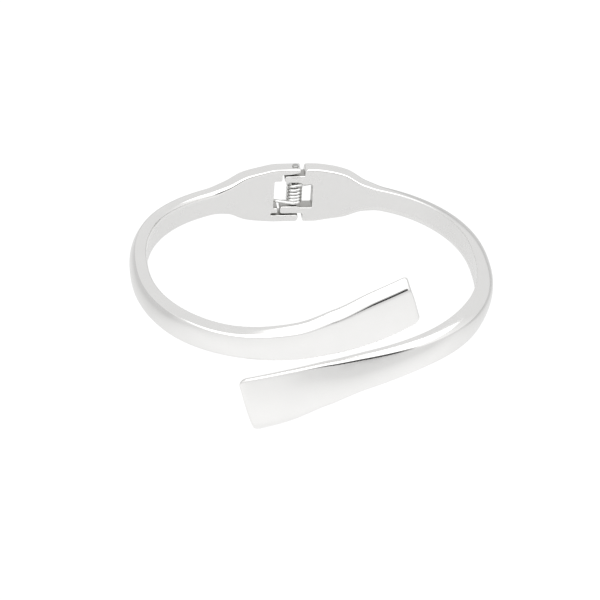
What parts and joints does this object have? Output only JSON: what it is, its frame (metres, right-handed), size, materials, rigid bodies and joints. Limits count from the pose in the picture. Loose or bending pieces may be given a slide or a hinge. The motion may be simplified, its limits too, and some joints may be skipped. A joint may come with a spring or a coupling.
{
  "type": "bangle bracelet",
  "caption": "Polished hinged bypass bangle: oval wrist band whose flared ends pass each other at the front, opening at a sprung pin hinge at the back.",
  "frame": {"origin": "centre of the whole bangle's bounding box", "axes": "+Z runs along the wrist, +Y points to the hinge and the free ends cross at -Y, +X points to the side of the right arm"},
  "size_m": [0.064, 0.0581, 0.03],
  "materials": {
    "plating": "polished",
    "rivet": "polished, filed flush",
    "spring_steel": "bright drawn wire"
  },
  "bodies": {
    "left": {"left_arm": "plating", "hinge_pin": "rivet", "torsion_spring": "spring_steel"},
    "right": {"right_arm": "plating"}
  },
  "joints": [
    {"name": "hinge", "type": "hinge", "parent": "left", "child": "right", "pos_m": [0, 0.02765, 0], "axis": [0, 0, 1], "range_deg": [0, 40], "stiffness_Nm_per_rad": 0.09, "springref_deg": -28.65, "deforming": ["torsion_spring"]}
  ]
}
